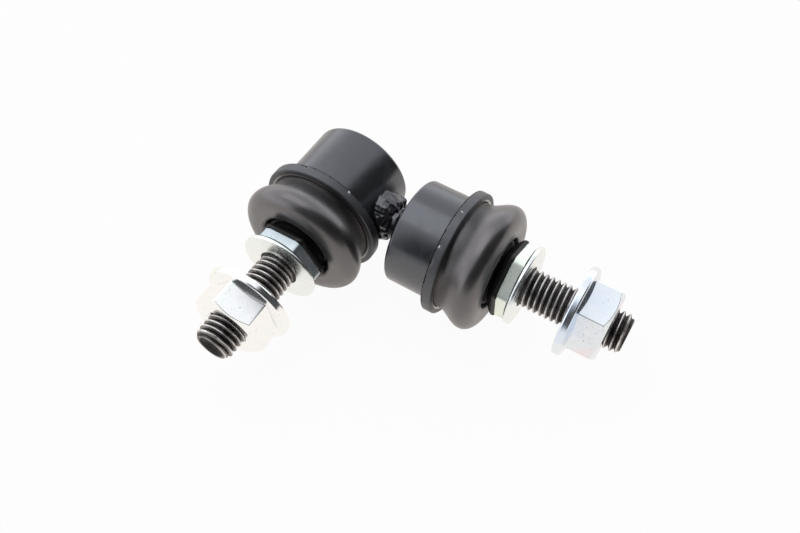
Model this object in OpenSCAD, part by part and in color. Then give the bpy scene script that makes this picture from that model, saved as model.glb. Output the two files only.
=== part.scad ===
// Short stabilizer link: two ball joints whose housings are welded together at a right angle.
// The side joint's stud points along -Y and the end joint's stud points along +X.
// The origin is the centre of the side stud's collar seat, and Z = 0 is the plane of both studs.

/* [Ball and socket] */
// Diameter of the ball
ball_d = 14; // [12:0.5:15]
// Running clearance between the ball and what it turns in
ball_gap = 0.05; // [0.02:0.01:0.1]
// Wall of the plastic ball seat at the ball's equator
seat_wall = 2.6; // [1.8:0.1:3]
// Floor of the ball seat behind the ball
seat_floor = 1.2; // [0.8:0.1:1.5]
// Distance that the seat's grip reaches past the ball's centre
seat_grip = 3.2; // [2.6:0.1:3.6]
// Length of the seat's flared mouth in front of its grip
seat_mouth = 2.4; // [1.6:0.1:2.8]
// Diameter of the grease pocket in the seat's floor
seat_pocket_d = 4; // [2:0.5:6]
// Clearance between the seat and the housing
seat_gap = 0.02; // [0:0.01:0.05]

/* [Housings] */
// Outer diameter of both housings
housing_d = 27.5; // [26:0.5:32]
// Distance from the side joint's ball centre to the housing's closed end
side_back = 15.5; // [12:0.5:20]
// Distance from the end joint's ball centre to the housing's closed end
end_back = 10; // [9.8:0.1:16]
// Rounding of the housings' closed edge
housing_edge = 0.8; // [0.5:0.1:2]
// Step down from the housing to the spigot under the boot
spigot_step = 2.1; // [1.6:0.1:2.2]
// Thickness of the rolled rim that keeps the seat in
rim_h = 1.1; // [0.8:0.1:1.4]
// How far the rolled rim reaches in over the seat
rim_lap = 1.3; // [0.8:0.1:1.6]

/* [Retaining rings] */
// Wall of the ring over the boot's bead
ring_wall = 2.25; // [1.2:0.05:3.5]
// Width of the ring along the joint's axis
ring_w = 2.7; // [2.4:0.1:5]
// Distance from the ball's centre to the ring's rear edge
ring_back = 2.4; // [2:0.1:4]
// Width of the ring's rear lip, which grips the housing
ring_lip = 1.2; // [0.9:0.05:1.4]
// Step from the rear lip out to the wider bore over the boot
ring_step = 0.45; // [0.3:0.05:0.8]
// Rounding of the ring's outer edges
ring_edge = 0.4; // [0.3:0.1:1]
// Clearance between the ring and what it holds
ring_gap = 0.05; // [0.02:0.01:0.1]

/* [Boots] */
// How far the boot's bulge stands out past its bead
boot_bulge = 2.3; // [1.6:0.05:4]
// Length from the ring's front to the bulge's widest point
boot_skirt = 6.4; // [5:0.1:9]
// How far the skirt's waist lies inside the bead
boot_waist = 0.6; // [0.3:0.1:0.8]
// Radius of the bulge's shoulder
boot_nose = 3.6; // [3:0.1:5]
// Wall of the boot
boot_wall = 1.6; // [1:0.1:1.8]
// Radius of the fold where the front turns back into the valley
boot_fold = 1.4; // [1:0.1:1.8]
// Clearance between the valley's wall and the wire clip
valley_gap = 0.4; // [0.2:0.05:0.8]
// Length of the boot's neck, where the wire clip sits
boot_neck = 2.1; // [1.3:0.1:3]
// Wall of the boot's neck
neck_wall = 1.5; // [1:0.1:1.8]
// Clearance between the boot and the pieces it touches
boot_gap = 0.1; // [0.05:0.05:0.2]
// Diameter of the clip's wire
clip_wire = 1.1; // [0.8:0.1:1.2]
// Turn of the clip's wire round the neck, in degrees
clip_turn = 340; // [300:5:350]

/* [Lip rings] */
// Width across the flats of the hexagonal lip
lip_af = 17.7; // [17.2:0.1:18]
// Length of the lip ring from the boot's neck to the collar
lip_h = 2.6; // [1.8:0.1:3]
// Thickness of the lip's rim
lip_rim = 0.9; // [0.4:0.1:1.2]
// Trim of the lip's corners
lip_trim = 0.2; // [0.1:0.05:0.4]
// How far the collar's hexagon stands in front of the boot
lip_stand = 3.1; // [1:0.1:4]

/* [Studs] */
// Nominal diameter of the thread
thread_d = 10; // [8:1:12]
// Length of the thread from the collar's seat to the tip
thread_len = 25.85; // [24:0.05:36]
// Length of the chamfer at the stud's tip
tip_chamfer = 1.2; // [0.5:0.1:2]
// Diameter of the dish that thread rolling leaves in the tip
tip_dish_d = 5; // [3:0.5:6]
// Depth of the dish in the tip
tip_dish_h = 0.6; // [0.3:0.1:1]
// Length of the plain relief between the collar and the thread
relief_h = 1.6; // [1:0.1:3]
// Depth of the relief below the thread's crests
relief_step = 0.4; // [0.2:0.1:0.9]
// Length of the neck before its fillet starts
neck_h = 1; // [0.5:0.1:2]
// Diameter of the neck beside the ball
neck_d = 8; // [7:0.5:8.5]
// Diameter of the shank behind the collar
shank_d = 12; // [11:0.5:13]
// Fillet radius between the neck and the shank
neck_fillet = 4; // [3:0.5:5]
// Width across the flats of the collar's hexagon
hex_af = 17; // [16:0.5:17.5]
// Height of the collar's hexagon
hex_h = 2.65; // [2:0.05:4]
// Turned diameter that trims the hexagon's corners
hex_turned_d = 19.3; // [18.5:0.1:20]
// Diameter of the collar's flange
flange_d = 20.5; // [20:0.1:24]
// Thickness of the collar's flange
flange_h = 1.5; // [1:0.1:2.5]
// Rounding of the collar's flange
flange_edge = 0.4; // [0.2:0.1:0.5]
// Turn of the side stud's hexagon about its axis, in degrees
side_hex_turn = 2; // [0:1:60]
// Turn of the end stud's hexagon about its axis, in degrees
end_hex_turn = 37; // [0:1:60]

/* [Nuts] */
// Width across the flats of the nut
nut_af = 17; // [16:0.5:18]
// Height of the nut with its flange
nut_h = 9.6; // [8:0.1:12]
// Diameter of the nut's flange
nut_flange_d = 22.7; // [21:0.1:25]
// Thickness of the nut flange's rim
nut_rim = 1.9; // [1:0.1:2.2]
// Height of the sloped top of the nut's flange
nut_slope = 0.9; // [0.6:0.1:2]
// Height of the chamfer on the nut's outer end
nut_chamfer = 1.1; // [0.5:0.1:1.5]
// Step of the chamfer's circle inside the nut's flats
nut_face_step = 0.4; // [0.2:0.1:0.8]
// Chamfer of the nut flange's edge
nut_edge = 0.3; // [0.2:0.1:0.5]
// Chamfer at both ends of the nut's bore
nut_bore_chamfer = 0.6; // [0.3:0.1:0.9]
// Clearance between the thread and the nut
thread_gap = 0.05; // [0.02:0.01:0.1]
// Space between the side collar's seat and its nut
side_grip = 10.65; // [4:0.05:13]
// Space between the end collar's seat and its nut
end_grip = 12.05; // [4:0.05:13]
// Turn of the side nut about its axis, in degrees
side_nut_turn = 43; // [0:1:60]
// Turn of the end nut about its axis, in degrees
end_nut_turn = 5; // [0:1:60]

/* [Link] */
// Distance from the side joint's axis to the end joint's ball centre
link_len = 31.85; // [31:0.05:60]
// Distance from the side ball's centre back to the end joint's axis
link_back = 4.7; // [2:0.1:6]
// Diameter of the rod between the housings
rod_d = 9; // [7:0.5:10]
// Size of the weld beads beside the rod
weld_r = 2; // [1:0.1:2.5]
// Clearance between welded faces
weld_gap = 0.02; // [0.01:0.01:0.05]

/* [Hidden] */
$fn = 96;

// Radii
ball_r = ball_d / 2;
cup_r = ball_r + ball_gap;
seat_r = cup_r + seat_wall;
bore_r = seat_r + seat_gap;
seat_pocket_r = seat_pocket_d / 2;
housing_r = housing_d / 2;
spigot_r = housing_r - spigot_step;
ring_grip_r = housing_r + ring_gap;
ring_bore_r = ring_grip_r + ring_step;
ring_r = ring_bore_r + ring_wall;
boot_base_r = ring_bore_r - ring_gap;
boot_r = boot_base_r + boot_bulge;
waist_r = boot_base_r - boot_waist;
thread_r = thread_d / 2;
relief_r = thread_r - relief_step;
lip_r = lip_af / sqrt(3) - lip_trim;
neck_r = neck_d / 2;
shank_r = shank_d / 2;
boot_neck_r = shank_r + boot_gap;
boot_neck_out_r = boot_neck_r + neck_wall;
clip_r = boot_neck_out_r + boot_gap + clip_wire / 2;
valley_r = clip_r + clip_wire / 2 + valley_gap;
fold_r = valley_r + boot_fold;
nose = min(boot_nose, boot_r - fold_r);
nose_r = boot_r - nose;
rod_r = rod_d / 2;

// Places along a joint's axis, from the ball's centre towards the stud's tip
seat_back_t = -(cup_r + seat_floor);
seat_front_t = seat_grip + seat_mouth;
rim_back_t = seat_front_t + seat_gap;
rim_t = rim_back_t + rim_h;
shoulder_t = ring_back + ring_lip;
ring_front_t = ring_back + ring_w;
crest_t = ring_front_t + boot_skirt;
boot_front_t = crest_t + nose;
hex_back_t = boot_front_t + lip_stand;
flange_back_t = hex_back_t + hex_h;
collar_t = flange_back_t + flange_h;
tip_t = collar_t + thread_len;
lip_back_t = hex_back_t - lip_h;
neck_top_t = lip_back_t - boot_gap;
valley_t = neck_top_t - boot_neck;
web_t = valley_t - boot_wall;

// The boot's skirt is a cone from the waist that runs on into the bulge's circle
skirt_tilt = asin(nose / norm([waist_r - nose_r, boot_skirt])) - atan2(waist_r - nose_r, boot_skirt);

// Places of the two joints
side_ball_y = collar_t;
end_axis_y = side_ball_y + link_back;
end_wall_x = link_len - end_back;

steel_black = [0.09, 0.09, 0.1];
rubber_black = [0.06, 0.06, 0.06];
zinc = [0.78, 0.8, 0.82];
acetal = [0.9, 0.89, 0.85];
bright_steel = [0.7, 0.7, 0.72];
wire_steel = [0.3, 0.3, 0.32];

// Puts a joint, drawn along +Z with its ball's centre at 0, in its place on the link
module side_place() {
    translate([0, side_ball_y, 0])
        rotate([90, 0, 0])
            children();
}

module end_place() {
    translate([link_len, end_axis_y, 0])
        rotate([90, 0, 90])
            children();
}

// Section of a solid disc from the axis out to r, with its rear outer edge rounded
module rounded_section(r, back, front, edge) {
    translate([0, back]) square([r - edge, front - back]);
    translate([0, back + edge]) square([r, front - back - edge]);
    translate([r - edge, back + edge]) circle(edge);
}

// Section of a band from r_in to r_out with both outer edges rounded
module band_section(r_in, r_out, back, front, edge) {
    translate([r_in, back]) square([r_out - edge - r_in, front - back]);
    translate([r_in, back + edge]) square([r_out - r_in, front - back - 2 * edge]);
    translate([r_out - edge, back + edge]) circle(edge);
    translate([r_out - edge, front - edge]) circle(edge);
}

module hexagon(af, h, turn) {
    rotate([0, 0, turn]) cylinder(r = af / sqrt(3), h = h, $fn = 6);
}

// Forged cup with a rolled rim that keeps the ball seat in
module housing(back) {
    color(steel_black)
        rotate_extrude()
            difference() {
                union() {
                    rounded_section(housing_r, -back, shoulder_t, housing_edge);
                    square([spigot_r, rim_t]);
                }
                translate([0, seat_back_t - seat_gap])
                    square([bore_r, rim_back_t - seat_back_t + seat_gap]);
                polygon([
                    [0, 0],
                    [0, rim_t + 1],
                    [bore_r - rim_lap + rim_h + 1, rim_t + 1],
                    [bore_r - rim_lap, rim_back_t],
                    [bore_r - rim_lap, 0]
                ]);
            }
}

// Plastic cup that wraps the ball past its equator and flares for the leaning neck
module ball_seat() {
    grip_r = sqrt(pow(cup_r, 2) - pow(seat_grip, 2));
    color(acetal)
        rotate_extrude()
            difference() {
                translate([0, seat_back_t]) square([seat_r, seat_front_t - seat_back_t]);
                translate([0, -cup_r]) square([seat_pocket_r, cup_r]);
                circle(cup_r);
                polygon([
                    [0, 0],
                    [grip_r - 0.6 * seat_grip, 0],
                    [grip_r + 0.6 * (seat_mouth + 1), seat_front_t + 1],
                    [0, seat_front_t + 1]
                ]);
            }
}

module ball() {
    color(bright_steel) sphere(ball_r);
}

// Pin with a necked shank, a hexagonal collar and a threaded end
module stud(hex_turn) {
    color(zinc)
        union() {
            difference() {
                rotate_extrude()
                    difference() {
                        union() {
                            square([neck_r, crest_t]);
                            translate([0, ball_r + neck_h])
                                square([shank_r, flange_back_t - ball_r - neck_h]);
                        }
                        translate([neck_r + neck_fillet, ball_r + neck_h]) circle(neck_fillet);
                    }
                sphere(cup_r);
            }
            intersection() {
                translate([0, 0, hex_back_t]) hexagon(hex_af, hex_h + flange_h / 2, hex_turn);
                cylinder(d = hex_turned_d, h = collar_t);
            }
            rotate_extrude() band_section(0, flange_d / 2, flange_back_t, collar_t, flange_edge);
            rotate_extrude()
                polygon([
                    [0, flange_back_t],
                    [thread_r, flange_back_t],
                    [thread_r, collar_t],
                    [relief_r, collar_t + relief_step],
                    [relief_r, collar_t + relief_h - relief_step],
                    [thread_r, collar_t + relief_h],
                    [thread_r, tip_t - tip_chamfer],
                    [thread_r - 0.9 * tip_chamfer, tip_t],
                    [tip_dish_d / 2, tip_t],
                    [0, tip_t - tip_dish_h]
                ]);
        }
}

// Ring pressed over the housing's mouth, which clamps the boot's bead
module retaining_ring() {
    color(steel_black)
        rotate_extrude()
            difference() {
                band_section(ring_grip_r, ring_r, ring_back, ring_front_t, ring_edge);
                translate([0, shoulder_t]) square([ring_bore_r, ring_w]);
            }
}

// Rubber boot: a bead under the ring, a bulged skirt, a folded front and a neck on the shank
module boot() {
    color(rubber_black)
        rotate_extrude()
            difference() {
                union() {
                    translate([spigot_r + boot_gap, shoulder_t + boot_gap])
                        square([boot_base_r - spigot_r - boot_gap, ring_w - ring_lip - boot_gap]);
                    skirt_section(nose);
                    nose_section(nose);
                    translate([valley_r, web_t])
                        square([nose_r - valley_r, boot_front_t - boot_fold - web_t]);
                    if (nose_r > fold_r)
                        translate([fold_r, web_t]) square([nose_r - fold_r, boot_front_t - web_t]);
                    translate([fold_r, boot_front_t - boot_fold]) circle(boot_fold);
                    translate([boot_neck_r, web_t]) square([nose_r - boot_neck_r, boot_wall]);
                    translate([boot_neck_r, web_t])
                        square([neck_wall, neck_top_t - web_t]);
                }
                intersection() {
                    skirt_section(nose - boot_wall);
                    square([boot_r, web_t]);
                }
                intersection() {
                    skirt_section(nose - boot_wall);
                    translate([nose_r, 0]) square([boot_r, crest_t + boot_gap]);
                }
                nose_section(nose - boot_wall);
                translate([0, 0]) square([boot_neck_r, boot_front_t]);
                square([spigot_r + boot_gap, rim_t + boot_gap]);
            }
}

// Skirt of the boot, filled from the valley's wall out to a cone that touches a bulge of radius r
module skirt_section(r) {
    base_r = waist_r - (nose - r) / cos(skirt_tilt);
    polygon([
        [valley_r, ring_front_t - boot_gap],
        [base_r - boot_gap * tan(skirt_tilt), ring_front_t - boot_gap],
        [nose_r + r * cos(skirt_tilt), crest_t - r * sin(skirt_tilt)],
        [nose_r, crest_t],
        [valley_r, crest_t]
    ]);
    intersection() {
        translate([nose_r, crest_t]) circle(r);
        translate([nose_r, crest_t - r]) square(r);
    }
}

// Quarter disc of the boot's front shoulder
module nose_section(r) {
    intersection() {
        translate([nose_r, crest_t]) circle(r);
        translate([nose_r, crest_t]) square(r);
    }
}

// Open wire ring round the boot's neck
module boot_clip() {
    color(wire_steel)
        rotate_extrude(angle = clip_turn)
            translate([clip_r, valley_t + boot_gap + clip_wire / 2]) circle(clip_wire / 2);
}

// Lip that flares from the round neck to a hexagon behind the collar
module lip_ring(hex_turn) {
    color(rubber_black)
        difference() {
            intersection() {
                translate([0, 0, lip_back_t]) hexagon(lip_af, lip_h - boot_gap / 2, hex_turn);
                rotate_extrude()
                    polygon([
                        [0, lip_back_t],
                        [boot_neck_out_r, lip_back_t],
                        [lip_r, hex_back_t - lip_rim],
                        [lip_r, hex_back_t],
                        [0, hex_back_t]
                    ]);
            }
            translate([0, 0, web_t]) cylinder(r = shank_r + weld_gap, h = boot_front_t);
        }
}

// Flange nut with a sloped flange and a chamfered outer end
module nut(grip, turn) {
    corner_r = nut_af / sqrt(3);
    flat_r = nut_af / 2;
    nut_bore_r = thread_r + thread_gap;
    mouth_r = nut_bore_r + nut_bore_chamfer;
    color(zinc)
        translate([0, 0, collar_t + grip])
            difference() {
                union() {
                    intersection() {
                        hexagon(nut_af, nut_h, turn);
                        rotate_extrude()
                            polygon([
                                [0, 0],
                                [corner_r, 0],
                                [corner_r, nut_h - nut_chamfer],
                                [flat_r - nut_face_step, nut_h],
                                [0, nut_h]
                            ]);
                    }
                    rotate_extrude()
                        polygon([
                            [0, 0],
                            [nut_flange_d / 2 - nut_edge, 0],
                            [nut_flange_d / 2, nut_edge],
                            [nut_flange_d / 2, nut_rim],
                            [flat_r, nut_rim + nut_slope],
                            [0, nut_rim + nut_slope]
                        ]);
                }
                rotate_extrude()
                    polygon([
                        [0, 0],
                        [mouth_r, 0],
                        [nut_bore_r, nut_bore_chamfer],
                        [nut_bore_r, nut_h - nut_bore_chamfer],
                        [mouth_r, nut_h],
                        [0, nut_h]
                    ]);
            }
}

// Places along the link's rod, drawn along +X at the end joint's axis
module rod_place() {
    translate([0, end_axis_y, 0])
        rotate([90, 0, 90])
            children();
}

// Room that the side housing's wall takes out of what is welded to it
module side_wall_room() {
    translate([0, end_axis_y, 0])
        rotate([90, 0, 0])
            cylinder(r = housing_r + weld_gap, h = 4 * housing_r, center = true);
}

module link_rod() {
    color(steel_black)
        difference() {
            rod_place() cylinder(r = rod_r, h = end_wall_x - weld_gap);
            side_wall_room();
        }
}

// Bead round the rod where it meets the side housing's wall
module side_weld() {
    wall_x = sqrt(pow(housing_r, 2) - pow(rod_r, 2));
    color(steel_black)
        difference() {
            rod_place()
                rotate_extrude()
                    difference() {
                        translate([rod_r, (wall_x + housing_r) / 2]) circle(weld_r);
                        square([rod_r + weld_gap, end_wall_x]);
                    }
            side_wall_room();
        }
}

// Bead round the rod where it meets the end housing's closed end
module end_weld() {
    color(steel_black)
        rod_place()
            rotate_extrude()
                intersection() {
                    translate([rod_r, end_wall_x]) circle(weld_r);
                    translate([rod_r + weld_gap, 0]) square([2 * weld_r, end_wall_x - weld_gap]);
                }
}

side_place() housing(side_back);  // side_housing
side_place() ball_seat();  // side_ball_seat
side_place() ball();  // side_ball
side_place() stud(side_hex_turn);  // side_stud
side_place() retaining_ring();  // side_retaining_ring
side_place() boot();  // side_boot
side_place() boot_clip();  // side_boot_clip
side_place() lip_ring(side_hex_turn);  // side_lip_ring
side_place() nut(side_grip, side_nut_turn);  // side_nut
end_place() housing(end_back);  // end_housing
end_place() ball_seat();  // end_ball_seat
end_place() ball();  // end_ball
end_place() stud(end_hex_turn);  // end_stud
end_place() retaining_ring();  // end_retaining_ring
end_place() boot();  // end_boot
end_place() boot_clip();  // end_boot_clip
end_place() lip_ring(end_hex_turn);  // end_lip_ring
end_place() nut(end_grip, end_nut_turn);  // end_nut
link_rod();
side_weld();
end_weld();
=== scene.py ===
import math

import bmesh
import bpy
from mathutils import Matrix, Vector, noise


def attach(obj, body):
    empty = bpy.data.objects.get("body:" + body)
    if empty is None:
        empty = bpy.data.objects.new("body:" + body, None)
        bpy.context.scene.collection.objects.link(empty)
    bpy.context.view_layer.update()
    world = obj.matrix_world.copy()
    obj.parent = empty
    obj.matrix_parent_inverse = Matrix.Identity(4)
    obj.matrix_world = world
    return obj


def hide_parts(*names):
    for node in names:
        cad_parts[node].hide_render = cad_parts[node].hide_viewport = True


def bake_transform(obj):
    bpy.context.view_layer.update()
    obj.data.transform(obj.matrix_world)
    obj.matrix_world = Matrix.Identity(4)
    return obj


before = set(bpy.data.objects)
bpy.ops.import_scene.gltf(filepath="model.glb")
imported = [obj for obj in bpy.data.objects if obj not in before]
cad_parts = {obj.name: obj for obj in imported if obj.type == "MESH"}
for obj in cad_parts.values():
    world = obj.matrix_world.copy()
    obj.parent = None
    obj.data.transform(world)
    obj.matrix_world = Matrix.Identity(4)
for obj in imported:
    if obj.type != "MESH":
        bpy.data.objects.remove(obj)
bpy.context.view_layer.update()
scene = bpy.context.scene
MM = 0.001

# Sizes in mm; a place along a joint's axis counts from the ball's centre towards the tip
SIDE_BALL_Y, LINK_LEN, END_Y = 22.35, 31.85, 27.05
TABLE_Z = -16.5
BACK = {"side": 15.5, "end": 10.0}
HOUSING_R, HOUSING_EDGE, SHOULDER = 13.75, 0.8, 3.6
SPIGOT_R, SPIGOT_FRONT, RIM_FRONT, RIM_R = 11.65, 6.4, 6.72, 8.37
SEAT_R, SEAT_FRONT, SEAT_BACK = 9.67, 5.62, -8.27

# Stud
PIN_HOLLOW_R, PIN_END, NECK_R, NECK_FRONT, SHANK_R, SHANK_BACK = 7.05, 6.9, 4.0, 8.0, 6.0, 11.6
HEX_BACK, FLANGE_BACK, COLLAR, TIP = 18.2, 20.85, 22.35, 48.2
HEX_AF, HEX_TURNED_R, HEX_CHAMFER, HEX_CHAMFER_SLOPE = 17.0, 9.65, 0.35, 0.55
FLANGE_R, FLANGE_ROUND, FLANGE_EDGE = 10.25, 0.95, 0.4
# Inside this radius the flange's front face is painted dark, as a painted reflection of the thread beside it
THREAD_REFLECTION_R = 5.15
HEX_TURN = {"side": 2.0, "end": 37.0}

# Thread, with the crest's end and the root's start as shares of a pitch from the crest's middle
THREAD_R, PITCH, THREAD_DEPTH = 5.0, 1.5, 0.92
CREST_END, ROOT_START = 0.08, 0.43
RUNOUT_R, RUNOUT_PITCHES, THREAD_SINK = 4.6, 0.9, 0.3
TIP_R, TIP_CHAMFER, TIP_SLOPE, TIP_LAND = 3.92, 1.2, 0.9, 0.2
DISH_R, DISH_FLOOR_R, DISH_DEPTH, DISH_MIDDLE = 3.3, 1.2, 0.62, 0.7

# Retaining ring and boot
RING_R, RING_BACK, RING_FRONT, RING_LIP = 16.3, 2.1, 4.7, 3.6
RING_GRIP_R, RING_BORE_R, RING_SKIN = 13.8, 14.25, 1.0
RING_BACK_ROUND, RING_FRONT_ROUND = 0.3, 0.4
RING_ROWS, RING_BEVEL = (0.38, 0.46, 0.55, 0.8, 1.1, 1.4, 1.7, 2.0), ((0.65, 0.0), (0.35, 0.02), (0.07, 0.22))
# Painted highlight: pale metal colour on the bevel at the front of the ring's bore, between these radii and
# this deep, for a thin bright line
RING_HIGHLIGHT_FROM, RING_HIGHLIGHT_TO, RING_HIGHLIGHT_DEEP = 14.2, 14.8, 0.45
# The seam's width and unevenness give the band of painted shade along the ring's back edge, where it meets
# the housing
RING_WAVES, RING_WAVE_R, RING_WAVE_T, SEAM_SHADE_WIDTH, SEAM_SHADE_UNEVEN = 3.1, 0.03, 0.05, 0.3, 0.22
BOOT_R, BOOT_WAIST_R, BOOT_WAIST, BOOT_CREST, BOOT_FRONT = 16.5, 14.1, 5.3, 12.0, 15.45
BOOT_CURL, BEAD_R, BEAD_BACK, SKIRT_START = 4.5, 11.75, 3.75, 5.2
FOLD_R, FOLD, FOLD_ROUND, VALLEY_FLOOR = 10.6, 14.0, 1.4, 13.4
BOOT_NECK_R, BOOT_BORE_R, BOOT_NECK_FRONT = 7.6, 6.1, 15.5
BOOT_INSIDE, HOLLOW_R, HOLLOW, HOLLOW_ROUND = 11.8, 12.6, 11.5, 2.1
# The first: inside this radius the boot's faces get painted shade, near-black, in the valley between the fold
# and the neck
VALLEY_SHADE_R, BEND_START, BEND_END = 9.6, 5.6, 12.6

# Lip ring and nut
LIP_AF, LIP_R, LIP_BACK, LIP_NECK_R, LIP_BORE_R, LIP_RISE = 17.7, 10.019, 15.6, 7.5, 6.04, 1.65
NUT_AF, NUT_H, NUT_CHAMFER, NUT_LAND = 17.0, 9.6, 1.1, 0.4
NUT_FLANGE_R, NUT_FLANGE_H, NUT_FLANGE_RISE, NUT_EDGE = 11.35, 1.9, 0.9, 0.4
NUT_BORE_R, NUT_GROOVE, NUT_MOUTH_R, NUT_MOUTH = 5.05, 0.55, 5.65, 0.6
NUT_TURN = {"side": 43.0, "end": 5.0}
GRIP = {"side": 10.65, "end": 12.05}


def side_place(x, y, t):
    return (x * MM, (SIDE_BALL_Y - t) * MM, y * MM)


def end_place(x, y, t):
    return ((LINK_LEN + t) * MM, (END_Y + x) * MM, y * MM)


PLACE = {"side": side_place, "end": end_place}


def from_place(s, point):
    """The two cross measures and the place of a point, in mm, along a joint's axis."""
    p = point / MM
    if s == "side":
        return p.x, p.z, SIDE_BALL_Y - p.y
    return p.y - END_Y, p.z, p.x - LINK_LEN


# Mesh helpers

def new_object(name, bm, sharp=None):
    """Makes an object of a bmesh, smooth except at edges sharper than the given angle."""
    bmesh.ops.remove_doubles(bm, verts=bm.verts, dist=2e-7)
    bmesh.ops.dissolve_degenerate(bm, edges=bm.edges, dist=1e-7)
    bmesh.ops.recalc_face_normals(bm, faces=bm.faces)
    for f in bm.faces:
        f.smooth = True
    if sharp is not None:
        limit = math.radians(sharp)
        for e in bm.edges:
            if len(e.link_faces) == 2 and e.calc_face_angle(0.0) > limit:
                e.smooth = False
    mesh = bpy.data.meshes.new(name)
    bm.to_mesh(mesh)
    bm.free()
    obj = bpy.data.objects.new(name, mesh)
    scene.collection.objects.link(obj)
    return obj


def arc(cr, ct, r, a0, a1, n):
    """Points (radius, place) on an arc about (cr, ct); angle 0 points outward and 90 towards the tip."""
    out = []
    for k in range(n + 1):
        a = math.radians(a0 + (a1 - a0) * k / n)
        out.append((cr + r * math.cos(a), ct + r * math.sin(a)))
    return out


def swell(r0, t0, r1, t1, n):
    """Points on a smooth rise from (r0, t0) to (r1, t1), level at both ends."""
    out = []
    for k in range(n + 1):
        rise = 0.5 - 0.5 * math.cos(math.pi * k / n)
        out.append((r0 + (r1 - r0) * rise, t0 + (t1 - t0) * k / n))
    return out


def lathe(name, profile, place, n=160, closed=True, sharp=35.0, shift=None):
    """Turns a profile of (radius, place) points round the joint's axis."""
    bm = bmesh.new()
    rings = []
    for r, t in profile:
        if r < 1e-6:
            rings.append([bm.verts.new(place(0.0, 0.0, t))])
            continue
        ring = []
        for j in range(n):
            a = 2 * math.pi * j / n
            rr, tt = (r, t) if shift is None else shift(r, t, a)
            ring.append(bm.verts.new(place(rr * math.cos(a), rr * math.sin(a), tt)))
        rings.append(ring)
    pairs = list(zip(rings, rings[1:]))
    if closed:
        pairs.append((rings[-1], rings[0]))
    for lo, hi in pairs:
        if len(lo) == 1 and len(hi) == 1:
            continue
        for j in range(n):
            k = (j + 1) % n
            if len(lo) == 1:
                bm.faces.new((lo[0], hi[k], hi[j]))
            elif len(hi) == 1:
                bm.faces.new((lo[j], lo[k], hi[0]))
            else:
                bm.faces.new((lo[j], lo[k], hi[k], hi[j]))
    return new_object(name, bm, sharp)


def hex_radius(af, a, turn):
    """Radius of a hexagon at angle a, in degrees, with a corner at the turn."""
    d = (a - turn) % 60.0
    return af / 2 / math.cos(math.radians(d - 30.0))


def hex_angles(turn, per_side=14):
    """Angles round a hexagon, closer together beside its corners."""
    out = []
    for side in range(6):
        for k in range(per_side):
            u = 0.5 - 0.5 * math.cos(math.pi * k / per_side)
            out.append(turn + 60.0 * (side + u))
    return out


def join_columns(bm, cols):
    """Faces between neighbouring closed columns of vertices, all the way round."""
    n, m = len(cols), len(cols[0])
    for j in range(n):
        k = (j + 1) % n
        for i in range(m):
            h = (i + 1) % m
            bm.faces.new((cols[j][i], cols[k][i], cols[k][h], cols[j][h]))


def columns(name, angles, column, place, sharp=25.0):
    """Joins columns of (radius, place) points, one per angle, into a closed skin."""
    bm = bmesh.new()
    cols = []
    for a in angles:
        c, s = math.cos(math.radians(a)), math.sin(math.radians(a))
        cols.append([bm.verts.new(place(r * c, r * s, t)) for r, t in column(a)])
    join_columns(bm, cols)
    return new_object(name, bm, sharp)


def thread_depth(u):
    """Depth of the thread under its crest, at a share u of one pitch, from the crest's middle."""
    d = abs((u + 0.5) % 1.0 - 0.5)
    flank = (d - CREST_END) / (ROOT_START - CREST_END)
    return THREAD_DEPTH * min(1.0, max(0.0, flank))


# Places of the thread's materials in its list: plain flank, painted shade in the roots, painted shade in the
# tip's dish, and a painted highlight on the crests
FLANK_FACE, ROOT_SHADE_FACE, DISH_SHADE_FACE, CREST_HIGHLIGHT_FACE = range(4)
# Depths in mm past which a thread face gets the painted shade of the root, and under which it gets the
# painted highlight of the crest
ROOT_SHADE_FROM, CREST_HIGHLIGHT_TO = 0.68, 0.14


def thread_face(depth):
    if depth > ROOT_SHADE_FROM:
        return ROOT_SHADE_FACE
    return CREST_HIGHLIGHT_FACE if depth < CREST_HIGHLIGHT_TO else FLANK_FACE


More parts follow.
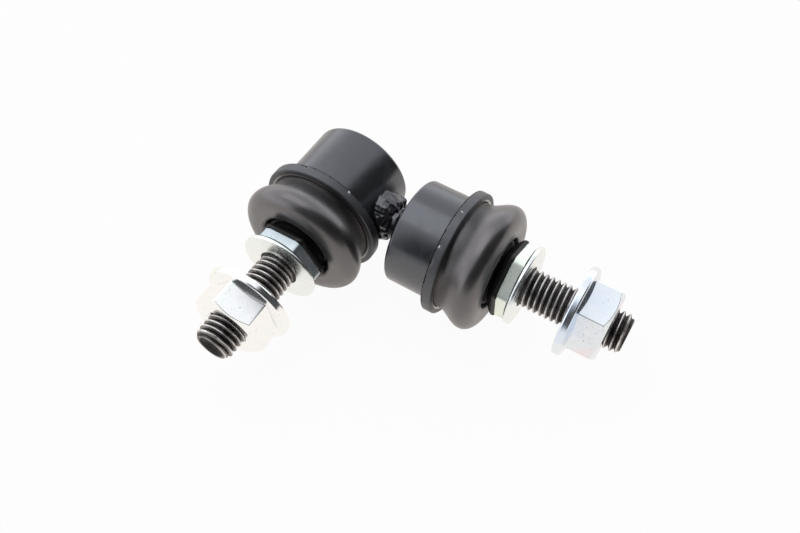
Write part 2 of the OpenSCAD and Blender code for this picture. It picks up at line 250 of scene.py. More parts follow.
def thread(name, place, start, stop, per_turn=96, per_pitch=16):
    """Helical thread between two places, with a chamfered, dished tip and a run-out at the start."""
    bm = bmesh.new()
    turns = (stop - start) / PITCH
    rows = int(math.ceil((turns + 2) * per_pitch))

    def vertex(r, j, t):
        a = 2 * math.pi * j / per_turn
        return bm.verts.new(place(r * math.cos(a), r * math.sin(a), t))

    def radius(t, u):
        fade = min(1.0, max(0.0, (t - start) / (RUNOUT_PITCHES * PITCH)))
        r = RUNOUT_R + (THREAD_R - thread_depth(u) - RUNOUT_R) * fade
        if t > stop - TIP_CHAMFER:
            r = min(r, THREAD_R - TIP_SLOPE * (t - stop + TIP_CHAMFER))
        return max(r, THREAD_R - THREAD_DEPTH if t < stop - TIP_LAND else TIP_R)

    grid = {}
    for i in range(rows + per_pitch + 1):
        for j in range(per_turn):
            u = i / per_pitch
            t = start + (u - 1.0 + j / per_turn) * PITCH
            if t <= start:
                t, r = start, RUNOUT_R
            elif t >= stop:
                t, r = stop, TIP_R
            else:
                r = radius(t, u)
            grid[i, j] = vertex(r, j, t)
    for i in range(rows):
        for j in range(per_turn):
            step, k = (0, j + 1) if j < per_turn - 1 else (per_pitch, 0)
            quad = (grid[i, j], grid[i + step, k], grid[i + step + 1, k], grid[i + 1, j])
            bm.faces.new(quad).material_index = thread_face(thread_depth((i + 0.5) / per_pitch))

    # The tip's land and back are plain, and its dish gets painted shade
    floor, middle = stop - DISH_DEPTH, stop - DISH_MIDDLE
    for j in range(per_turn):
        k = j + 1
        land = [(DISH_R, j, stop), (TIP_R, j, stop), (TIP_R, k, stop), (DISH_R, k, stop)]
        slope = [(DISH_FLOOR_R, j, floor), (DISH_R, j, stop), (DISH_R, k, stop), (DISH_FLOOR_R, k, floor)]
        cone = [(0.0, j, middle), (DISH_FLOOR_R, j, floor), (DISH_FLOOR_R, k, floor)]
        back = [(0.0, j, start), (RUNOUT_R, k, start), (RUNOUT_R, j, start)]
        for points, index in ((land, FLANK_FACE), (slope, DISH_SHADE_FACE), (cone, DISH_SHADE_FACE), (back, FLANK_FACE)):
            bm.faces.new([vertex(*p) for p in points]).material_index = index
    return new_object(name, bm, 34.0)


# Material helpers

def material(name):
    mat = bpy.data.materials.new(name)
    mat.use_nodes = True
    tree = mat.node_tree
    return mat, tree, tree.nodes["Principled BSDF"]


def node(tree, kind, **values):
    """New node with the given inputs or settings."""
    n = tree.nodes.new(kind)
    for key, value in values.items():
        if key in n.inputs:
            n.inputs[key].default_value = value
        else:
            setattr(n, key, value)
    return n


def feed(tree, value, socket):
    """Links an output to a socket, or sets the socket to a plain value."""
    if hasattr(value, "links"):
        tree.links.new(value, socket)
    elif isinstance(value, tuple):
        socket.default_value = (*value, 1.0)
    else:
        socket.default_value = value


def ramp(tree, source, stops):
    r = tree.nodes.new("ShaderNodeValToRGB")
    e = r.color_ramp.elements
    while len(e) < len(stops):
        e.new(0.5)
    for k, (pos, col) in enumerate(stops):
        e[k].position = pos
        e[k].color = (*col, 1.0) if isinstance(col, tuple) else (col, col, col, 1.0)
    tree.links.new(source, r.inputs["Fac"])
    return r.outputs["Color"]


def noise_of(tree, scale, detail=3.0, rough=0.5, distortion=0.0):
    coord = tree.nodes.new("ShaderNodeTexCoord")
    n = node(tree, "ShaderNodeTexNoise", Scale=scale, Detail=detail, Roughness=rough, Distortion=distortion)
    tree.links.new(coord.outputs["Object"], n.inputs["Vector"])
    return n.outputs["Fac"]


def bump(tree, shader, source, strength, distance):
    b = node(tree, "ShaderNodeBump", Strength=strength, Distance=distance)
    tree.links.new(source, b.inputs["Height"])
    tree.links.new(b.outputs["Normal"], shader.inputs["Normal"])


def mix_colour(tree, fac, a, b, blend="MIX"):
    m = node(tree, "ShaderNodeMix", data_type="RGBA", blend_type=blend)
    for value, socket in ((fac, m.inputs[0]), (a, m.inputs[6]), (b, m.inputs[7])):
        feed(tree, value, socket)
    return m.outputs[2]


def set_colour(tree, shader, source):
    tree.links.new(source, shader.inputs["Base Color"])


def set_gloss(tree, shader, source, rough):
    """Roughness between two values, by a noise."""
    tree.links.new(ramp(tree, source, [(0.3, rough[0]), (0.7, rough[1])]), shader.inputs["Roughness"])


def scaled(colour, factor):
    return tuple(c * factor for c in colour)


# Kinds of material

def paint_material(name, base, rough, dust, ior, peel):
    """Satin black paint: slight orange peel, uneven gloss, fine dust and a few bare specks."""
    mat, tree, shader = material(name)
    colour = ramp(tree, noise_of(tree, 180.0, 4.0), [(0.3, base), (0.7, scaled(base, 1.5))])
    specks = ramp(tree, noise_of(tree, 2300.0, 2.0, 0.6), [(0.71, 0.0), (0.77, dust)])
    patches = ramp(tree, noise_of(tree, 90.0, 2.0), [(0.45, 0.0), (0.65, 1.0)])
    dusty = mix_colour(tree, 1.0, specks, patches, "MULTIPLY")
    set_colour(tree, shader, mix_colour(tree, dusty, colour, (0.3, 0.3, 0.31)))
    set_gloss(tree, shader, noise_of(tree, 420.0, 4.0, 0.6), rough)
    shader.inputs["IOR"].default_value = ior
    shader.inputs["Specular Tint"].default_value = (0.89, 0.92, 1.0, 1.0)
    bump(tree, shader, noise_of(tree, 1500.0, 2.0), peel, 0.00006)
    return mat


def rubber_material(name, base, rough, ior, sheen=0.0):
    """Black moulded rubber with a dull bloom, fine grain and dust."""
    mat, tree, shader = material(name)
    colour = ramp(tree, noise_of(tree, 130.0, 5.0, 0.6), [(0.35, base), (0.75, scaled(base, 2.0))])
    specks = ramp(tree, noise_of(tree, 2000.0, 2.0, 0.6), [(0.72, 0.0), (0.78, 0.5)])
    set_colour(tree, shader, mix_colour(tree, specks, colour, (0.22, 0.21, 0.2)))
    set_gloss(tree, shader, noise_of(tree, 300.0, 4.0, 0.6), rough)
    shader.inputs["IOR"].default_value = ior
    shader.inputs["Specular Tint"].default_value = (1.0, 0.955, 0.965, 1.0)
    shader.inputs["Sheen Weight"].default_value = sheen
    shader.inputs["Sheen Roughness"].default_value = 0.35
    bump(tree, shader, noise_of(tree, 2600.0, 3.0), 0.12, 0.00005)
    return mat


def zinc_material(name, base, cool, warm, rough):
    """Bright zinc plate with a faint rainbow of passivation, draw marks and small pits."""
    mat, tree, shader = material(name)
    shader.inputs["Metallic"].default_value = 1.0
    green = tuple(c * k for c, k in zip(base, (0.975, 1.005, 0.975)))
    film = [(0.28, cool), (0.42, base), (0.5, green), (0.58, base), (0.74, warm)]
    tint = ramp(tree, noise_of(tree, 75.0, 2.0, 0.5, 0.6), film)
    pits = ramp(tree, noise_of(tree, 1700.0, 3.0, 0.6), [(0.27, 0.55), (0.36, 1.0)])
    set_colour(tree, shader, mix_colour(tree, 1.0, tint, pits, "MULTIPLY"))
    set_gloss(tree, shader, noise_of(tree, 500.0, 4.0, 0.6), rough)
    bump(tree, shader, noise_of(tree, 900.0, 3.0), 0.10, 0.00004)
    return mat


def thread_material(name, dark, mid, light, rough):
    """Rolled thread with oily soil in patches."""
    mat, tree, shader = material(name)
    shader.inputs["Metallic"].default_value = 1.0
    soil = noise_of(tree, 520.0, 4.0, 0.65)
    set_colour(tree, shader, ramp(tree, soil, [(0.3, dark), (0.52, mid), (0.72, light)]))
    set_gloss(tree, shader, noise_of(tree, 700.0, 3.0), rough)
    bump(tree, shader, noise_of(tree, 1500.0, 3.0, 0.6), 0.25, 0.00006)
    return mat


def weld_material(name):
    """Weld metal under thick glossy paint."""
    mat, tree, shader = material(name)
    tones = [(0.3, (0.006, 0.006, 0.007)), (0.7, (0.02, 0.02, 0.022))]
    set_colour(tree, shader, ramp(tree, noise_of(tree, 500.0, 3.0), tones))
    set_gloss(tree, shader, noise_of(tree, 600.0, 3.0), (0.08, 0.22))
    shader.inputs["IOR"].default_value = 1.9
    shader.inputs["Specular Tint"].default_value = (0.92, 0.93, 1.0, 1.0)
    bump(tree, shader, noise_of(tree, 380.0, 2.0, 0.5), 0.35, 0.0003)
    return mat


def plain_metal(name, base, rough, grain):
    """Turned or drawn steel with fine marks."""
    mat, tree, shader = material(name)
    shader.inputs["Metallic"].default_value = 1.0
    tone = noise_of(tree, grain, 4.0)
    set_colour(tree, shader, ramp(tree, tone, [(0.3, scaled(base, 0.8)), (0.7, base)]))
    set_gloss(tree, shader, tone, rough)
    bump(tree, shader, noise_of(tree, grain * 4, 3.0), 0.1, 0.00003)
    return mat


def plastic_material(name, base):
    """Natural acetal with a waxy surface."""
    mat, tree, shader = material(name)
    tone = noise_of(tree, 150.0, 3.0)
    set_colour(tree, shader, ramp(tree, tone, [(0.3, scaled(base, 0.93)), (0.7, base)]))
    set_gloss(tree, shader, tone, (0.35, 0.5))
    bump(tree, shader, noise_of(tree, 1800.0, 2.0), 0.08, 0.00003)
    return mat


# Materials

PAINT = paint_material(
    "black_paint", (0.0105, 0.0105, 0.0115), rough=(0.18, 0.27), dust=0.5, ior=2.05, peel=0.06)
RING = paint_material(
    "black_ring", (0.0175, 0.0170, 0.0175), rough=(0.40, 0.54), dust=0.9, ior=2.0, peel=0.14)
# Painted shade: near-black, dull rubber for the gap where the ring's back edge meets the housing, and in the
# dark nicks
SEAM_SHADE = rubber_material("ring_seam_shade", (0.004, 0.004, 0.004), rough=(0.5, 0.65), ior=1.2)
# Painted highlight: pale steel colour for the thin bright line along the front edge of the ring's bore
EDGE_HIGHLIGHT = plain_metal("ring_edge", (0.52, 0.50, 0.48), rough=(0.3, 0.42), grain=700.0)
CHIP = plain_metal("ring_chip", (0.62, 0.60, 0.58), rough=(0.3, 0.45), grain=900.0)
RUBBER = rubber_material("boot_rubber", (0.0130, 0.0121, 0.0127), rough=(0.28, 0.38), ior=2.2, sheen=0.3)
# Painted shade: near-black, dull rubber for the boot's valley and neck, which lie in shade
VALLEY_SHADE = rubber_material("valley_shade_rubber", (0.006, 0.006, 0.0065), rough=(0.55, 0.7), ior=1.22)
LIP = rubber_material("lip_rubber", (0.008, 0.008, 0.0085), rough=(0.42, 0.55), ior=1.45)
# Painted shade: the steel clip in the boot's valley gets near-black, dull rubber so it stays dark in the
# valley's shade
WIRE_SHADE = rubber_material("clip_wire", (0.006, 0.006, 0.006), rough=(0.45, 0.6), ior=1.25)
ZINC = zinc_material(
    "zinc_stud", (0.89, 0.925, 0.92), cool=(0.85, 0.91, 0.95), warm=(0.92, 0.92, 0.88), rough=(0.2, 0.32))
# Lit and shaded copies of one zinc: the side joint's hex is painted darker and bluer as painted shade, the
# end joint's a lighter, greener copy
HEX_LIT_SHADED = {
    "side": zinc_material(
        "zinc_side_hex_shaded", (0.60, 0.66, 0.71),
        cool=(0.52, 0.60, 0.68), warm=(0.68, 0.72, 0.72), rough=(0.33, 0.46)),
    "end": zinc_material(
        "zinc_end_hex", (0.88, 0.93, 0.86),
        cool=(0.82, 0.90, 0.86), warm=(0.92, 0.94, 0.86), rough=(0.38, 0.5))}
# Lit copies of one zinc: the side nut is painted near-white as a painted highlight, the end nut bluer as a
# painted reflection
NUT_LIT = {
    "side": zinc_material(
        "zinc_side_nut_highlight", (0.97, 0.98, 0.985),
        cool=(0.95, 0.97, 0.99), warm=(0.975, 0.97, 0.98), rough=(0.12, 0.2)),
    "end": zinc_material(
        "zinc_end_nut_reflection", (0.84, 0.885, 0.94),
        cool=(0.76, 0.845, 0.96), warm=(0.96, 0.85, 0.87), rough=(0.2, 0.3))}
# Painted highlight: pale crests, for the bright lines along the thread
CREST_HIGHLIGHT = thread_material(
    "thread_crest_highlight", dark=(0.42, 0.40, 0.395), mid=(0.72, 0.70, 0.69), light=(0.92, 0.91, 0.90),
    rough=(0.34, 0.46))
THREAD = thread_material(
    "thread_steel", dark=(0.17, 0.155, 0.150), mid=(0.28, 0.262, 0.255), light=(0.46, 0.44, 0.43),
    rough=(0.45, 0.6))
# Painted shade: dark colour for the thread's roots, and for the flange's face beside the thread
THREAD_SHADE = thread_material(
    "thread_shade", dark=(0.03, 0.027, 0.026), mid=(0.065, 0.06, 0.057), light=(0.13, 0.122, 0.118),
    rough=(0.45, 0.6))
# Painted shade: near-black for the dished end of the tip
DISH_SHADE = thread_material(
    "tip_dish_shade", dark=(0.003, 0.003, 0.003), mid=(0.008, 0.007, 0.007), light=(0.02, 0.018, 0.017),
    rough=(0.5, 0.65))
WELD = weld_material("weld_paint")
BALL = plain_metal("ball_steel", (0.62, 0.62, 0.63), rough=(0.10, 0.2), grain=300.0)
ACETAL = plastic_material("acetal", (0.82, 0.80, 0.74))


def dress(obj, slot, *mats):
    """Gives a piece its materials, the main one first; the slot for its finish is not used."""
    for mat in mats:
        obj.data.materials.append(mat)


def pick_faces(obj, s, choose):
    """Gives each face the material whose place in the list choose names for the face's middle."""
    for face in obj.data.polygons:
        face.material_index = choose(*from_place(s, face.center))


def paint_node(name, mat):
    """Gives a solid that is shown as it is its material."""
    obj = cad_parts[name]
    for slot in obj.material_slots:
        slot.material = mat
    if not obj.material_slots:
        obj.data.materials.append(mat)


# Pieces of one joint

def make_housing(s):
    back, edge = -BACK[s], HOUSING_EDGE
    p = [(0.0, back), (6.0, back)] + arc(HOUSING_R - edge, back + edge, edge, -90.0, 0.0, 8)
    p += [(HOUSING_R, -4.0), (HOUSING_R, 1.0), (HOUSING_R, SHOULDER - 0.15), (HOUSING_R - 0.1, SHOULDER)]
    p += [(SPIGOT_R, SHOULDER), (SPIGOT_R, SPIGOT_FRONT), (SPIGOT_R - 0.3, RIM_FRONT), (9.4, RIM_FRONT)]
    p += [(RIM_R, SEAT_FRONT), (SEAT_R, SEAT_FRONT), (SEAT_R, SEAT_BACK), (0.0, SEAT_BACK)]
    obj = lathe(s + "_housing_body", p, PLACE[s], n=224, closed=False, sharp=30.0)
    dress(obj, "black_paint", PAINT)
    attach(obj, "link")
    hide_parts(s + "_housing")


# Places of the ring's materials in its list: paint, painted shade, bare metal and a painted highlight; and
# its nicks: angle, place, width in degrees, depth and face, where the face is painted shade or bare metal
BAND_FACE, SHADE_FACE, BARE_FACE, HIGHLIGHT_FACE = range(4)
NICKS = {
    "side": [(104.0, 2.45, 1.8, 0.35, SHADE_FACE), (108.0, 2.3, 2.4, 0.12, SHADE_FACE),
             (59.0, 2.4, 1.3, 0.25, BARE_FACE)],
    "end": [(89.5, 3.3, 1.2, 0.22, BARE_FACE), (125.0, 2.7, 1.2, 0.2, BARE_FACE),
            (140.0, 2.3, 3.0, 0.15, SHADE_FACE)]}
NICK_LENGTH, NICK_FACE_LENGTH = 0.45, 0.4
WAVE_SEED = {"side": 0.0, "end": 7.0}


def turn_between(a, b):
    """Angle from b to a, in degrees, between -180 and 180."""
    return (a - b + 180.0) % 360.0 - 180.0


def make_ring(s):
    def shift(r, t, a):
        """Slight waves and the nicks, in the ring's outer skin."""
        if r < RING_R - RING_SKIN:
            return r, t
        x, y = RING_WAVES * math.cos(a), RING_WAVES * math.sin(a)
        wave = noise.noise(Vector((x, y, t * 0.35 + WAVE_SEED[s])))
        cut = 0.0
        for at, middle, width, depth, _ in NICKS[s]:
            across = turn_between(math.degrees(a), at) / width
            along = (t - middle) / NICK_LENGTH
            cut += depth * math.exp(-across ** 2 - along ** 2)
        return r + RING_WAVE_R * wave - cut, t + RING_WAVE_T * wave

    def face_at(x, y, t):
        r = math.hypot(x, y)
        if r < RING_R - RING_SKIN:
            # Painted highlight on the front edge of the bore
            on_highlight = RING_HIGHLIGHT_FROM < r < RING_HIGHLIGHT_TO and t > RING_FRONT - RING_HIGHLIGHT_DEEP
            return HIGHLIGHT_FACE if on_highlight else BAND_FACE
        for at, middle, width, _, face in reversed(NICKS[s]):
            across = turn_between(math.degrees(math.atan2(y, x)), at) / width
            if across ** 2 + ((t - middle) / NICK_FACE_LENGTH) ** 2 < 0.5:
                return face
        # Painted shade in the gap along the ring's back edge, as an uneven band
        shade_band = SEAM_SHADE_WIDTH + SEAM_SHADE_UNEVEN * noise.noise(Vector((x * 0.9, y * 0.9, 3.0)))
        return SHADE_FACE if t < RING_BACK + shade_band else BAND_FACE

    e, f = RING_BACK_ROUND, RING_FRONT_ROUND
    p = [(RING_GRIP_R, RING_BACK + 0.2), (RING_GRIP_R + 0.2, RING_BACK)]
    p += arc(RING_R - e, RING_BACK + e, e, -90.0, 0.0, 6)
    p += [(RING_R, RING_BACK + d) for d in RING_ROWS]
    p += arc(RING_R - f, RING_FRONT - f, f, 0.0, 90.0, 8)
    p += [(RING_BORE_R + wide, RING_FRONT - deep) for wide, deep in RING_BEVEL]
    p += [(RING_BORE_R, RING_FRONT - 0.5), (RING_BORE_R, RING_LIP), (RING_GRIP_R, RING_LIP)]
    obj = lathe(s + "_ring_band", p, PLACE[s], n=360, sharp=40.0, shift=shift)
    dress(obj, "black_ring", RING, SEAM_SHADE, CHIP, EDGE_HIGHLIGHT)
    pick_faces(obj, s, face_at)
    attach(obj, "link")
    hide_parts(s + "_retaining_ring")


def boot_profile():
    """Closed section of the boot: bead, skirt, bulge, fold, valley, neck, and the inside back to the bead."""
    p = [(BEAD_R, BEAD_BACK), (BOOT_WAIST_R, BEAD_BACK), (BOOT_WAIST_R + 0.05, BEAD_BACK + 0.65)]
    p += swell(BOOT_WAIST_R, BOOT_WAIST, BOOT_R, BOOT_CREST, 14)
    steps = 16
    for k in range(1, steps + 1):
        a = math.radians(86.0 * k / steps)
        r = BOOT_R - BOOT_CURL * (1.0 - math.cos(a))
        p.append((r, BOOT_CREST + (BOOT_FRONT - BOOT_CREST) * math.sin(a)))
    p += [(11.5, BOOT_FRONT - 0.01)] + arc(FOLD_R, FOLD, FOLD_ROUND, 84.0, 180.0, 10)
    p += [(FOLD_R - FOLD_ROUND - 0.05, VALLEY_FLOOR + 0.1), (8.9, VALLEY_FLOOR), (8.2, VALLEY_FLOOR)]
    p += [(BOOT_NECK_R + 0.2, VALLEY_FLOOR + 0.15), (BOOT_NECK_R, VALLEY_FLOOR + 0.5)]
    edge = BOOT_NECK_FRONT - 0.15
    p += [(BOOT_NECK_R, edge), (BOOT_NECK_R - 0.15, BOOT_NECK_FRONT)]
    p += [(BOOT_BORE_R + 0.15, BOOT_NECK_FRONT), (BOOT_BORE_R, edge), (BOOT_BORE_R, VALLEY_FLOOR + 0.2)]
    p += [(6.5, BOOT_INSIDE + 0.3), (6.9, BOOT_INSIDE), (10.0, BOOT_INSIDE)]
    p += [(12.3, BOOT_INSIDE), (12.9, BOOT_INSIDE + 0.5)]
    p += arc(HOLLOW_R, HOLLOW, HOLLOW_ROUND, 55.0, 0.0, 8)
    p += reversed(swell(BEAD_R, SKIRT_START, HOLLOW_R + HOLLOW_ROUND - 0.05, HOLLOW - 0.5, 8))
    return p


def make_boot(s):
    place = PLACE[s]
    obj = lathe(s + "_boot_rubber", boot_profile(), place, n=192, sharp=60.0)
    dress(obj, "boot_rubber", RUBBER, VALLEY_SHADE)
    # Faces inside the radius get the painted shade of the valley
    pick_faces(obj, s, lambda x, y, t: int(math.hypot(x, y) < VALLEY_SHADE_R))
    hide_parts(s + "_boot")
    start, end = place(0, 0, BEND_START), place(0, 0, BEND_END)
    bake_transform(obj)


def make_lip(s):
    turn, front = HEX_TURN[s], HEX_BACK - 0.05

    def column(a):
        edge = min(hex_radius(LIP_AF, a, turn), LIP_R)
        rim = edge - 0.05
        out = [(LIP_BORE_R, front), (LIP_BORE_R, LIP_BACK), (LIP_NECK_R - 0.2, LIP_BACK)]
        steps = 6
        for k in range(1, steps + 1):
            u = k / steps
            out.append((LIP_NECK_R + (rim - LIP_NECK_R) * u ** 0.5, LIP_BACK + LIP_RISE * u))
        return out + [(edge, HEX_BACK - 0.9), (edge, HEX_BACK - 0.25), (rim - 0.12, front)]

    obj = columns(s + "_lip_cup", hex_angles(turn), column, PLACE[s], sharp=38.0)
    dress(obj, "lip_rubber", LIP)
    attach(obj, s + "_stud_body")
    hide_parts(s + "_lip_ring")


def make_stud(s):
    place, turn = PLACE[s], HEX_TURN[s]

    steps = 6
    radii = [NECK_R * k / steps for k in range(steps + 1)]
    pin = [(0.0, PIN_END)] + [(r, math.sqrt(PIN_HOLLOW_R ** 2 - r * r)) for r in radii[1:]]
    pin += [(NECK_R, NECK_FRONT)] + arc(2 * NECK_R, NECK_FRONT, NECK_R, 180.0, 120.0, 8)[1:]
    pin += [(SHANK_R, SHANK_BACK), (SHANK_R, HEX_BACK + 0.3), (0.0, HEX_BACK + 0.3)]
    shank = lathe(s + "_stud_pin", pin, place, n=96, closed=False, sharp=35.0)
    dress(shank, "zinc_stud", ZINC)

    def column(a):
        h = min(hex_radius(HEX_AF, a, turn), HEX_TURNED_R)
        edge = HEX_TURNED_R - HEX_CHAMFER
        low = HEX_BACK + max(0.0, HEX_CHAMFER_SLOPE * (h - edge))
        front = FLANGE_BACK + 0.1
        return [(NECK_R, HEX_BACK), (min(h, edge), HEX_BACK), (h, low), (h, front), (NECK_R, front)]

    collar = columns(s + "_stud_collar", hex_angles(turn), column, place, sharp=20.0)
    # The hex gets its joint's lit or shaded copy of the zinc
    dress(collar, "zinc_stud", HEX_LIT_SHADED[s])

    e, f = FLANGE_ROUND, FLANGE_EDGE
    p = [(NECK_R, FLANGE_BACK), (9.0, FLANGE_BACK)] + arc(FLANGE_R - e, FLANGE_BACK + e, e, -90.0, 0.0, 9)
    p += arc(FLANGE_R - f, COLLAR - f, f, 0.0, 90.0, 5)
    p += [(7.0, COLLAR), (5.3, COLLAR), (THREAD_R, COLLAR), (4.75, COLLAR + 0.12)]
    p += [(RUNOUT_R, COLLAR + 0.4), (NECK_R, COLLAR + 0.4)]
    flange = lathe(s + "_stud_flange", p, place, n=160, sharp=40.0)
    # The flange's face next to the thread gets the thread's painted shade colour, as a painted reflection of
    # the thread
    dress(flange, "zinc_stud", ZINC, THREAD_SHADE)
    pick_faces(flange, s, lambda x, y, t: int(math.hypot(x, y) < THREAD_REFLECTION_R))

    screw = thread(s + "_stud_thread", place, COLLAR + THREAD_SINK, TIP)
    dress(screw, "zinc_stud", THREAD, THREAD_SHADE, DISH_SHADE, CREST_HIGHLIGHT)
    for obj in (shank, collar, flange, screw):
        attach(obj, s + "_stud_body")
        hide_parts(s + "_stud")


def make_nut(s):
    turn = NUT_TURN[s]
    base = COLLAR + GRIP[s]
    top = base + NUT_H
    flat, corner = NUT_AF / 2, NUT_AF / math.sqrt(3)

    def cone(r):
        """Place of the chamfer across the nut's top corners."""
        return top - NUT_CHAMFER * (r - flat + NUT_LAND) / (corner - flat + NUT_LAND)

    def column(a):
        h = min(hex_radius(NUT_AF, a, turn), corner - 0.05)
        rim = NUT_FLANGE_R
        slope = base + NUT_FLANGE_H + NUT_FLANGE_RISE * (rim - h) / (rim - flat)
        out = [(NUT_BORE_R, base + NUT_MOUTH), (NUT_MOUTH_R, base), (rim - NUT_EDGE, base)]
        out += [(rim - 0.12, base + 0.12), (rim, base + NUT_EDGE), (rim, base + NUT_FLANGE_H - 0.35)]
        out += [(rim - 0.1, base + NUT_FLANGE_H - 0.1), (rim - 0.35, base + NUT_FLANGE_H + 0.08)]
        out += [(h + 0.25, slope - 0.1), (h + 0.06, slope + 0.02), (h, slope + 0.25)]
        out += [(h, cone(h) - 0.08), (h - 0.06, cone(h) + 0.02)]
        out += [(flat - NUT_LAND, top - 0.02), (flat - NUT_LAND - 0.2, top), (NUT_MOUTH_R + 0.1, top)]
        out += [(NUT_MOUTH_R, top - 0.04), (NUT_BORE_R, top - NUT_MOUTH)]
        steps = 84
        for k in range(1, steps):
            t = top - NUT_MOUTH - (NUT_H - 2 * NUT_MOUTH) * k / steps
            groove = thread_depth((t - base) / PITCH - a / 360.0) / THREAD_DEPTH
            ends = min(1.0, 4.0 * min(k, steps - k) / steps)
            out.append((NUT_BORE_R + NUT_GROOVE * ends * groove, t))
        return out

    def in_bore(x, y, t):
        return math.hypot(x, y) < NUT_MOUTH_R + 0.1 and abs(t - base - NUT_H / 2) < NUT_H / 2 - 0.5

    obj = columns(s + "_nut_body", hex_angles(turn, 20), column, PLACE[s], sharp=17.0)
    # The nut gets its joint's lit copy of the zinc
    dress(obj, "zinc_nut", NUT_LIT[s], THREAD)
    pick_faces(obj, s, lambda x, y, t: int(in_bore(x, y, t)))
    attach(obj, s + "_nut_body")
    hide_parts(s + "_nut")


for joint in ("side", "end"):
    make_housing(joint)
    make_ring(joint)
    make_boot(joint)
    make_lip(joint)
    make_stud(joint)
    make_nut(joint)
    paint_node(joint + "_ball_seat", ACETAL)
    paint_node(joint + "_ball", BALL)
    # The clip gets the painted shade of the valley
    paint_node(joint + "_boot_clip", WIRE_SHADE)


# Rod and weld beads between the housings

WELD_ROOT_R, WELD_CORE_R, WELD_LEAST_R, WELD_LUMP_R = 4.2, 3.6, 4.1, 6.0
WELD_MOST_R, WELD_MOST_BY_RING, WELD_TOP = 8.2, 6.3, math.radians(80.0)
WELD_SEED = {"side": 3.0, "end": 8.0}

# The toe's radius and the run along the rod, each with what the top adds and its share of the unevenness
WELD_SIZE = {"side": ((5.7, 1.25, 0.9), (3.5, 1.0, 0.7)), "end": ((5.6, 0.7, 1.0), (3.3, 0.0, 0.7))}

# Lumps as scale and height in mm, and the ripples round the bead
ROUND_LUMPS, COARSE_LUMPS, FINE_LUMPS = (0.5, 0.6), (0.42, 0.55), (0.85, 0.22)
RIPPLES, RIPPLE_HEIGHT = 11.0, 0.10


def rod_point(r, a, x):
    return (x * MM, (END_Y + r * math.cos(a)) * MM, r * math.sin(a) * MM)


def wall_x(r, a):
    """Place of the side housing's wall at a point beside the rod's axis."""
    z = r * math.sin(a)
    return math.sqrt(max(0.0, HOUSING_R ** 2 - z * z))


def lumps(x, r, a, seed, scale, amount):
    v = Vector((r * math.cos(a), r * math.sin(a), x)) * scale + Vector((seed, seed * 0.7, 0.0))
    return amount * noise.fractal(v, 1.2, 2.0, 2)


def weld_size(s, a, uneven):
    """Radius of the bead's toe and its run along the rod, fuller on top."""
    top = max(0.0, math.cos(a - WELD_TOP))
    toe, run = (least + more * top + share * uneven for least, more, share in WELD_SIZE[s])
    return min(toe, WELD_MOST_BY_RING if math.cos(a) < -0.5 else WELD_MOST_R), run


def make_weld(s):
    """Weld bead round the rod: a rounded fillet with ripples and lumps."""
    bm = bmesh.new()
    seed = WELD_SEED[s]
    end_x = LINK_LEN - BACK["end"]
    out_sign = 1.0 if s == "side" else -1.0
    around, along = 200, 22
    cols = []
    for j in range(around):
        a = 2 * math.pi * j / around
        uneven = lumps(0.0, WELD_LUMP_R, a, seed, *ROUND_LUMPS)
        toe, run = weld_size(s, a, uneven)
        col = []
        for i in range(along):
            b = 0.5 * math.pi * i / (along - 1)
            r = WELD_ROOT_R
            if i < along - 1:
                r += (toe - WELD_ROOT_R) * math.cos(b) ** 0.7
            x = (wall_x(r, a) if s == "side" else end_x) + out_sign * run * math.sin(b) ** 0.8
            d = lumps(x, r, a, seed, *COARSE_LUMPS) + lumps(x, r, a, seed + 5.0, *FINE_LUMPS)
            d += RIPPLE_HEIGHT * math.sin(RIPPLES * a + 2.0 * uneven + 2.0 * b)
            d *= math.sin(b) ** 0.5
            r = max(r + d * math.cos(b), WELD_LEAST_R)
            col.append(bm.verts.new(rod_point(r, a, x + out_sign * d * math.sin(b))))
        deep = wall_x(toe, a) - 0.3 if s == "side" else end_x + 0.08
        inner = wall_x(WELD_CORE_R, a) - 0.3 if s == "side" else end_x + 0.08
        col.append(bm.verts.new(rod_point(WELD_CORE_R, a, inner)))
        col.append(bm.verts.new(rod_point(toe - 0.3, a, deep)))
        cols.append(col)
    join_columns(bm, cols)
    obj = new_object(s + "_weld_bead", bm)
    dress(obj, "black_paint", WELD)
    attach(obj, "link")
    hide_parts(s + "_weld")


make_weld("side")
make_weld("end")
paint_node("link_rod", WELD)


# Floor, light and camera

FLOOR_HALF, FLOOR_CELLS, FLOOR_GAP = 1.2, 12, 0.00005
FLOOR_COLOUR, FLOOR_SHOWN, FLOOR_REFLECTED = (0.92, 0.915, 0.905), (1.0, 1.0, 1.0), (1.0, 0.95, 0.905)
FLOOR_WHITE_SHARE = 0.95


def calculate(tree, operation, a, b):
    m = node(tree, "ShaderNodeMath", operation=operation)
    feed(tree, a, m.inputs[0])
    feed(tree, b, m.inputs[1])
    return m.outputs[0]


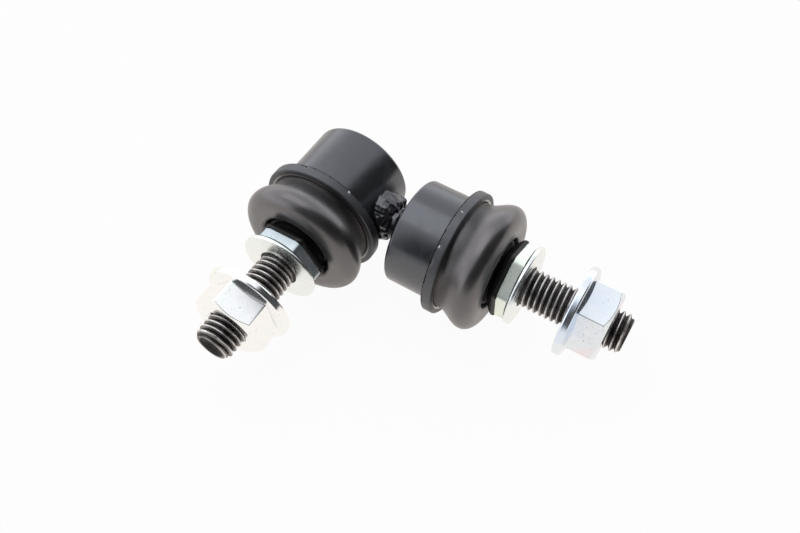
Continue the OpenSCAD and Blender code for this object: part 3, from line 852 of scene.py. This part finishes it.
def floor_material():
    """White to the camera and in reflections, but for the share that takes the object's shadow."""
    mat = bpy.data.materials.new("floor_white")
    mat.use_nodes = True
    tree = mat.node_tree
    tree.nodes.clear()
    path = tree.nodes.new("ShaderNodeLightPath")
    seen = path.outputs["Is Camera Ray"]
    white_rays = calculate(tree, "MAXIMUM", seen, path.outputs["Is Glossy Ray"])
    white_rays = calculate(tree, "MAXIMUM", white_rays, path.outputs["Is Transmission Ray"])
    share = calculate(tree, "MULTIPLY", white_rays, FLOOR_WHITE_SHARE)
    soft = node(tree, "ShaderNodeBsdfDiffuse", Color=(*FLOOR_COLOUR, 1.0))
    white = node(tree, "ShaderNodeEmission", Strength=1.0)
    feed(tree, mix_colour(tree, seen, FLOOR_REFLECTED, FLOOR_SHOWN), white.inputs["Color"])
    mix = tree.nodes.new("ShaderNodeMixShader")
    out = tree.nodes.new("ShaderNodeOutputMaterial")
    feed(tree, share, mix.inputs["Fac"])
    feed(tree, soft.outputs[0], mix.inputs[1])
    feed(tree, white.outputs[0], mix.inputs[2])
    feed(tree, mix.outputs[0], out.inputs["Surface"])
    return mat


def make_floor():
    bm = bmesh.new()
    n = FLOOR_CELLS
    at = [(k / n - 0.5) * 2 * FLOOR_HALF for k in range(n + 1)]
    z = TABLE_Z * MM - FLOOR_GAP
    grid = [[bm.verts.new((x, y, z)) for y in at] for x in at]
    for i in range(n):
        for j in range(n):
            bm.faces.new((grid[i][j], grid[i + 1][j], grid[i + 1][j + 1], grid[i][j + 1]))
    floor = new_object("floor", bm)
    floor.data.materials.append(floor_material())


# Studio light: ways that it fades along, and for each fade its range and the levels at both ends
FRONT_WAY, CROWN_WAY = Vector((0.85, -0.53, 0.0)), Vector((-0.3, -0.12, 0.95)).normalized()
OPEN_SIDE, CROWN_GLOW, LOW_GLOW = (0.01, 0.18, 1.0, 0.05), (0.88, 0.98, 0.0, 0.05), (0.15, 0.6, 0.6, 0.0)
HORIZON, HORIZON_LEFT = (0.05, 0.22, 0.8, 0.0), (0.1, 0.6, 1.0, 0.05)
STUDIO_LEVEL, STUDIO_COLOUR = 1.0, (0.965, 0.98, 1.01, 1.0)


def make_world():
    """Studio, bright behind and at the left, dark in front and at the right, and white to the camera."""
    world = bpy.data.worlds.new("studio")
    scene.world = world
    world.use_nodes = True
    tree = world.node_tree
    tree.nodes.clear()
    direction = tree.nodes.new("ShaderNodeTexCoord").outputs["Generated"]
    axis = tree.nodes.new("ShaderNodeSeparateXYZ")
    feed(tree, direction, axis.inputs[0])

    def along(vector):
        n = node(tree, "ShaderNodeVectorMath", operation="DOT_PRODUCT")
        n.inputs[1].default_value = vector
        feed(tree, direction, n.inputs[0])
        return n.outputs["Value"]

    def fade(source, low, high, at_low, at_high):
        m = node(tree, "ShaderNodeMapRange", interpolation_type="SMOOTHSTEP")
        feed(tree, source, m.inputs["Value"])
        for name, value in (("From Min", low), ("From Max", high), ("To Min", at_low), ("To Max", at_high)):
            m.inputs[name].default_value = value
        return m.outputs["Result"]

    height = axis.outputs["Z"]
    glow = calculate(tree, "ADD", fade(along(CROWN_WAY), *CROWN_GLOW), fade(height, *LOW_GLOW))
    lit = calculate(tree, "ADD", glow, STUDIO_LEVEL)
    sides = calculate(tree, "MULTIPLY", lit, fade(along(FRONT_WAY), *OPEN_SIDE))
    near = calculate(tree, "MULTIPLY", fade(height, *HORIZON), fade(axis.outputs["X"], *HORIZON_LEFT))
    level = calculate(tree, "MAXIMUM", sides, near)

    studio = node(tree, "ShaderNodeBackground", Color=STUDIO_COLOUR)
    white = node(tree, "ShaderNodeBackground", Color=(1.0, 1.0, 1.0, 1.0), Strength=1.0)
    path = tree.nodes.new("ShaderNodeLightPath")
    mix = tree.nodes.new("ShaderNodeMixShader")
    out = tree.nodes.new("ShaderNodeOutputWorld")
    feed(tree, level, studio.inputs["Strength"])
    feed(tree, path.outputs["Is Camera Ray"], mix.inputs["Fac"])
    feed(tree, studio.outputs[0], mix.inputs[1])
    feed(tree, white.outputs[0], mix.inputs[2])
    feed(tree, mix.outputs[0], out.inputs["Surface"])


def aim(obj, place, direction):
    obj.location = place
    obj.rotation_mode = "QUATERNION"
    obj.rotation_quaternion = direction.to_track_quat("-Z", "Y")
    scene.collection.objects.link(obj)


LAMP_PLACE, LAMP_TARGET = Vector((-0.30, 0.05, 0.60)), Vector((0.03, 0.01, 0.0))
LAMP_SIZE, LAMP_POWER, LAMP_COLOUR = 0.6, 0.8, (0.97, 0.98, 1.0)


def make_lamp():
    lamp = bpy.data.lights.new("softbox_top", "AREA")
    lamp.shape = "RECTANGLE"
    lamp.size = lamp.size_y = LAMP_SIZE
    lamp.energy = LAMP_POWER
    lamp.color = LAMP_COLOUR
    aim(bpy.data.objects.new("softbox_top", lamp), LAMP_PLACE, LAMP_TARGET - LAMP_PLACE)


# Camera, fitted to the photo: focal length in pixels of its width, place in metres and angles in degrees
FOCAL_PIXELS, WIDTH_PIXELS, SENSOR = 785.192, 800.0, 36.0
CAMERA_PLACE, CAMERA_AZIMUTH, CAMERA_ELEVATION = (0.081926, -0.076025, 0.159301), 31.691, 55.835


def make_camera():
    camera = bpy.data.cameras.new("camera")
    camera.sensor_fit = "HORIZONTAL"
    camera.sensor_width = SENSOR
    camera.lens = SENSOR * FOCAL_PIXELS / WIDTH_PIXELS
    camera.clip_start, camera.clip_end = 0.005, 20.0
    az, el = math.radians(CAMERA_AZIMUTH), math.radians(CAMERA_ELEVATION)
    back = Vector((math.sin(az) * math.cos(el), -math.cos(az) * math.cos(el), math.sin(el)))
    eye = bpy.data.objects.new("camera", camera)
    aim(eye, CAMERA_PLACE, -back)
    scene.camera = eye


make_floor()
make_world()
make_lamp()
make_camera()
scene.view_settings.view_transform = "Standard"
